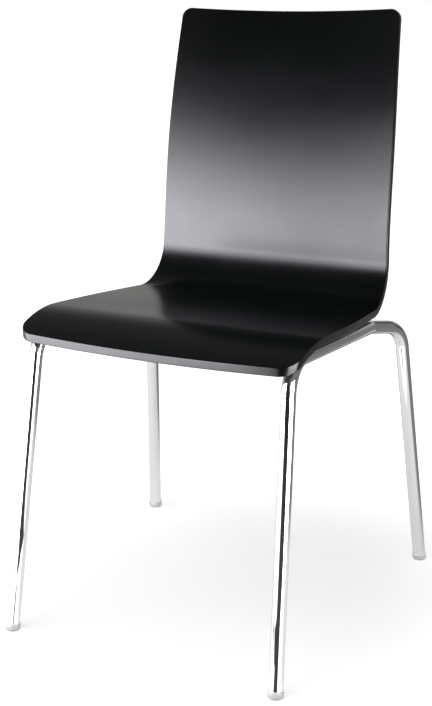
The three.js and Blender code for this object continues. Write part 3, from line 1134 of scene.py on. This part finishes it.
class CHOIR_OT_fit_glides(bpy.types.Operator):
    """Turn one glide, put a copy on each leg and cut it flat on the floor"""

    bl_idname = "choir.fit_glides"
    bl_label = "Fit Glides"

    def execute(self, context):
        tubes, sizes = context.scene.choir_frame, context.scene.choir_glides
        outer = sizes.diameter / 2
        socket = tubes.tube / 2 + tubes.gap
        stem = tubes.tube / 2 - tubes.wall - tubes.gap
        rounding = []
        for i in range(ROUNDING_STEPS + 1):
            turn = math.pi / 2 * i / ROUNDING_STEPS
            off_edge, rise = sizes.ease * (1 - math.sin(turn)), sizes.ease * (1 - math.cos(turn))
            rounding.append((outer - off_edge, rise - sizes.dip))
        rim = [(outer - across * LIP, sizes.height - down * LIP) for across, down in LIP_STEPS]
        inside = [(socket, sizes.height), (socket, sizes.floor), (stem, sizes.floor)]
        point = [(stem, sizes.stem - STEM_POINT), (stem - STEM_POINT, sizes.stem)]
        glide = turned("glide", rounding + rim + inside + point, sides=GLIDE_SIDES)
        closed_up(glide)
        plastic = glide_finish()
        for name, side in SIDES:
            line = side_line(side)
            for where, corner in (("front", line["front_corner"]), ("rear", line["elbow"])):
                foot = line[f"{where}_foot"]
                up = (corner - foot).normalized()
                lean = Vector((0, 0, 1)).rotation_difference(up).to_matrix().to_4x4()
                piece = copied(glide, f"foot_cap_{where}_{name}", Matrix.Translation(foot) @ lean)
                only(piece)
                bpy.ops.object.mode_set(mode="EDIT")
                sole = {"threshold": WELD_DISTANCE / 10, "use_fill": True, "clear_inner": True}
                cut_across((0, 0, 0), (0, 0, 1), **sole)
                closed_up(piece)
                dressed(piece, f"glide_{where}_{name}", plastic)
        bpy.data.objects.remove(glide)
        return {"FINISHED"}


# Stage

CAMERA_PLACE = (0.794252, -1.603108, 0.887542)
CAMERA_TURN = (math.pi / 2 - 0.276848, 0, 0.461809)
CAMERA_LENS = 64.35
LAMP_PLACE = Vector((-1.2, -1.6, 3.2))
LAMP_DIRECTION = Vector((1.2, 1.6, -3.0))
LAMP_WIDTH = 2.6
FLOOR_WIDTH = 90
FLOOR_DROP = 0.02 * MM
PANELS = {
    "panel_left": {"start": (-1.4, -0.5), "end": (-0.07, -0.82), "fade_from": 0.38, "height": 1.0},
    "panel_right": {"start": (1.6, 0.1), "end": (0.585, -0.54), "fade_from": 0.4, "height": 0.8},
}
# where the floor carries painted shade that only mirrors see, from one front foot outwards, with angles in
# degrees
WEDGES = (
    {"side": -1, "middle": 42, "half": 18, "at_tip": 0, "beyond": 1, "reach": 0.31},
    {"side": -1, "middle": 37, "half": 9, "at_tip": 0.86, "beyond": 0, "reach": 0.24},
    {"side": 1, "middle": 14.5, "half": 26.5, "at_tip": 0, "beyond": 1, "reach": -0.08},
)
# how soft the wedges' sides are, in degrees, and over how many metres their depth changes
WEDGE_SOFTNESS = 3
WEDGE_FADE = 0.12


def vector_math(tree, operation, *values):
    """The outputs of a VectorMath node on vectors and sockets."""
    return added_node(tree, "VectorMath", dict(enumerate(values)), operation=operation).outputs


def along(tree, vector, direction):
    """How far a vector reaches in a direction."""
    return vector_math(tree, "DOT_PRODUCT", vector, direction)["Value"]


def wedge_share(tree, place, side, middle, half, at_tip, beyond, reach):
    """How deep a wedge on the floor shades it: its middle is given in degrees from -Y towards +X, with half
    its opening, the depth at its tip and the depth beyond its reach."""
    offset = vector_math(tree, "SUBTRACT", place, side_line(side)["front_foot"])["Vector"]
    level = vector_math(tree, "NORMALIZE", offset)["Vector"]
    turn = math.radians(middle)
    towards = along(tree, level, (math.sin(turn), -math.cos(turn), 0))
    outer, inner = (math.cos(math.radians(half + extra)) for extra in (WEDGE_SOFTNESS, -WEDGE_SOFTNESS))
    inside = ranged(tree, towards, 0, 1, outer, inner)
    away = vector_math(tree, "LENGTH", offset)["Value"]
    depth = ranged(tree, away, at_tip, beyond, reach, reach + WEDGE_FADE)
    return reckoned(tree, "MULTIPLY", inside, depth)


def floor_material(stage):
    """Pale floor that glows for the eye and the mirrors, less near the chair, where the shadow shows."""
    material, tree, shader = new_finish("Studio floor")
    path = added_node(tree, "LightPath").outputs
    place = object_coordinates(tree)
    glow = ranged(tree, vector_math(tree, "LENGTH", place)["Value"], 0.56, 0.9, start=0.2, end=0.7)
    # for mirrors the floor glows less under and behind the chair than in front of it: painted shade of the
    # chair
    mirror_glow = ranged(tree, along(tree, place, (0, -1, 0)), 0.38, 1.2, start=0.2, end=0.32)
    # painted shade for the mirrors: the floor is darker behind on the right, and in the wedges
    shade = ranged(tree, along(tree, place, (0.35, 0.94, 0)), 1, 0.2, start=0.25, end=0.62)
    for wedge in WEDGES:
        depth = wedge_share(tree, place, **wedge)
        shade = reckoned(tree, "MULTIPLY", shade, reckoned(tree, "SUBTRACT", 1, depth))
    glossy = path["Is Glossy Ray"]
    dimmed = reckoned(tree, "MULTIPLY", glossy, reckoned(tree, "SUBTRACT", 1, shade))
    plain = reckoned(tree, "MAXIMUM", path["Is Camera Ray"], path["Is Transmission Ray"])
    in_mirrors = reckoned(tree, "MULTIPLY", glossy, reckoned(tree, "MULTIPLY", shade, mirror_glow))
    inputs = {
        "Base Color": blended(tree, dimmed, stage.floor, (0.05, 0.05, 0.05)),
        "Roughness": 1,
        "Specular IOR Level": 0,
        "Emission Color": (1, 1, 1, 1),
        "Emission Strength": reckoned(tree, "MULTIPLY_ADD", plain, glow, in_mirrors),
    }
    filled(tree, shader, inputs)
    return material


def studio_world(stage):
    """White all round for the eye and through glass, an even dome for light, and for mirrors a room that
    is white behind on the left and dark in front."""
    world = bpy.data.worlds.new("Studio")
    bpy.context.scene.world = world
    world.use_nodes = True
    tree = world.node_tree
    tree.nodes.clear()
    path = added_node(tree, "LightPath").outputs
    direction = added_node(tree, "TexCoord").outputs["Generated"]
    behind = ranged(tree, along(tree, direction, (-0.75, 0.66, 0)), 0, 0.5, start=0.1, end=0.75)
    low = ranged(tree, along(tree, direction, (0, 0, 1)), 1, 0.2, start=0.2, end=0.5)
    above = ranged(tree, along(tree, direction, (0.8, 0, 0.6)), 0.025, 0.18, start=0.45, end=0.75)
    wall = reckoned(tree, "MULTIPLY_ADD", behind, low, above)

    def background(strength, tint=(1, 1, 1)):
        inputs = {"Color": (*tint, 1), "Strength": strength}
        return added_node(tree, "Background", inputs).outputs["Background"]

    def choice(kind, first, second):
        inputs = {"Fac": path[f"Is {kind} Ray"], 1: first, 2: second}
        return added_node(tree, "MixShader", inputs).outputs["Shader"]

    white = background(1)
    seen = choice("Glossy", background(stage.dome), background(wall, (1, 0.98, 0.96)))
    seen = choice("Transmission", seen, white)
    seen = choice("Camera", seen, white)
    added_node(tree, "OutputWorld", {"Surface": seen})


def key_lamp(stage):
    """A large soft lamp above, which only lights and is not mirrored."""
    turn = LAMP_DIRECTION.to_track_quat("-Z", "Y").to_euler()
    lamp = added(bpy.ops.object.light_add, type="AREA", location=LAMP_PLACE, rotation=turn)
    lamp.name = "key_lamp"
    lamp.data.shape = "RECTANGLE"
    lamp.data.size = lamp.data.size_y = LAMP_WIDTH
    lamp.data.energy = stage.key
    lamp.visible_camera = lamp.visible_glossy = False


def mirrored_panel(name, start, end, brightness, fade_from, height):
    """An upright panel that only gloss mirrors: dimmer towards its end, and faded out upwards."""
    start, end = Vector((*start, 0)), Vector((*end, 0))
    run = end - start
    panel = added(
        bpy.ops.mesh.primitive_plane_add,
        size=1,
        location=(start + end) / 2 + Vector((0, 0, height / 2)),
        rotation=(math.pi / 2, 0, math.atan2(run.y, run.x)),
    )
    panel.name = panel.data.name = name
    panel.scale = (run.length, height, 1)
    settled()
    material, tree, shader = new_finish(name)
    place = object_coordinates(tree)
    level = run.normalized()
    first = start.dot(level)
    across, up = along(tree, place, level), along(tree, place, (0, 0, 1))
    # near the floor it dims towards its end, and higher up it is dimmer about one upright line
    bright_to, line, dim_from = (first + part * run.length for part in (0.66, 0.8, 0.94))
    at_foot = ranged(tree, across, 1, 0.68, start=bright_to, end=dim_from)
    off_line = reckoned(tree, "ABSOLUTE", reckoned(tree, "SUBTRACT", across, line))
    higher = ranged(tree, off_line, 0.88, 1.5, start=0, end=0.2)
    foot_share = ranged(tree, up, 1, 0, start=0.28, end=0.42)
    change = reckoned(tree, "SUBTRACT", at_foot, higher)
    evenness = reckoned(tree, "MULTIPLY_ADD", foot_share, change, higher)
    fading = ranged(tree, up, brightness, 0, start=fade_from, end=height)
    inputs = {
        "Base Color": (0, 0, 0, 1),
        "Specular IOR Level": 0,
        "Emission Color": (0.95, 0.93, 1, 1),
        "Emission Strength": reckoned(tree, "MULTIPLY", evenness, fading),
    }
    filled(tree, shader, inputs)
    panel.data.materials.append(material)
    panel.visible_camera = panel.visible_diffuse = panel.visible_transmission = panel.visible_shadow = False


class CHOIR_OT_set_stage(bpy.types.Operator):
    """Lay the floor, set the lights and the camera"""

    bl_idname = "choir.set_stage"
    bl_label = "Set Stage"

    def execute(self, context):
        stage = context.scene.choir_stage
        floor = added(bpy.ops.mesh.primitive_plane_add, size=FLOOR_WIDTH, location=(0, 0, -FLOOR_DROP))
        floor.name = "studio_floor"
        floor.data.materials.append(floor_material(stage))
        studio_world(stage)
        key_lamp(stage)
        for name, panel in PANELS.items():
            mirrored_panel(name, brightness=stage.sheen, **panel)
        camera = added(bpy.ops.object.camera_add, location=CAMERA_PLACE, rotation=CAMERA_TURN)
        camera.name = "studio_camera"
        camera.data.lens = CAMERA_LENS
        context.scene.camera = camera
        context.scene.view_settings.view_transform = "Standard"
        return {"FINISHED"}


# Panel, registration and run


class CHOIR_PT_sidebar(bpy.types.Panel):
    bl_label = "Choir Chair"
    bl_idname = "CHOIR_PT_sidebar"
    bl_space_type = "VIEW_3D"
    bl_region_type = "UI"
    bl_category = "Choir Chair"

    def draw(self, context):
        for operator in OPERATORS:
            self.layout.operator(operator.bl_idname)
        for key, group in GROUPS.items():
            box = self.layout.box()
            box.label(text=key.replace("choir_", "").capitalize())
            for name in group.__annotations__:
                box.prop(getattr(context.scene, key), name)


GROUPS = {
    "choir_shell": ShellSizes,
    "choir_frame": FrameSizes,
    "choir_fixings": FixingSizes,
    "choir_glides": GlideSizes,
    "choir_finishes": Finishes,
    "choir_stage": StageSettings,
}
OPERATORS = (
    CHOIR_OT_press_shell,
    CHOIR_OT_bend_legs,
    CHOIR_OT_cut_cross_tubes,
    CHOIR_OT_fit_plates,
    CHOIR_OT_fit_fixings,
    CHOIR_OT_fit_glides,
    CHOIR_OT_set_stage,
)


def register():
    for key, group in GROUPS.items():
        bpy.utils.register_class(group)
        setattr(bpy.types.Scene, key, bpy.props.PointerProperty(type=group))
    for operator in OPERATORS:
        bpy.utils.register_class(operator)
    bpy.utils.register_class(CHOIR_PT_sidebar)


def unregister():
    bpy.utils.unregister_class(CHOIR_PT_sidebar)
    for operator in reversed(OPERATORS):
        bpy.utils.unregister_class(operator)
    for key, group in reversed(GROUPS.items()):
        delattr(bpy.types.Scene, key)
        bpy.utils.unregister_class(group)


def main():
    register()
    bpy.ops.choir.press_shell()
    bpy.ops.choir.bend_legs()
    bpy.ops.choir.cut_cross_tubes()
    bpy.ops.choir.fit_plates()
    bpy.ops.choir.fit_fixings()
    bpy.ops.choir.fit_glides()
    bpy.ops.choir.set_stage()


if __name__ == "__main__":
    main()
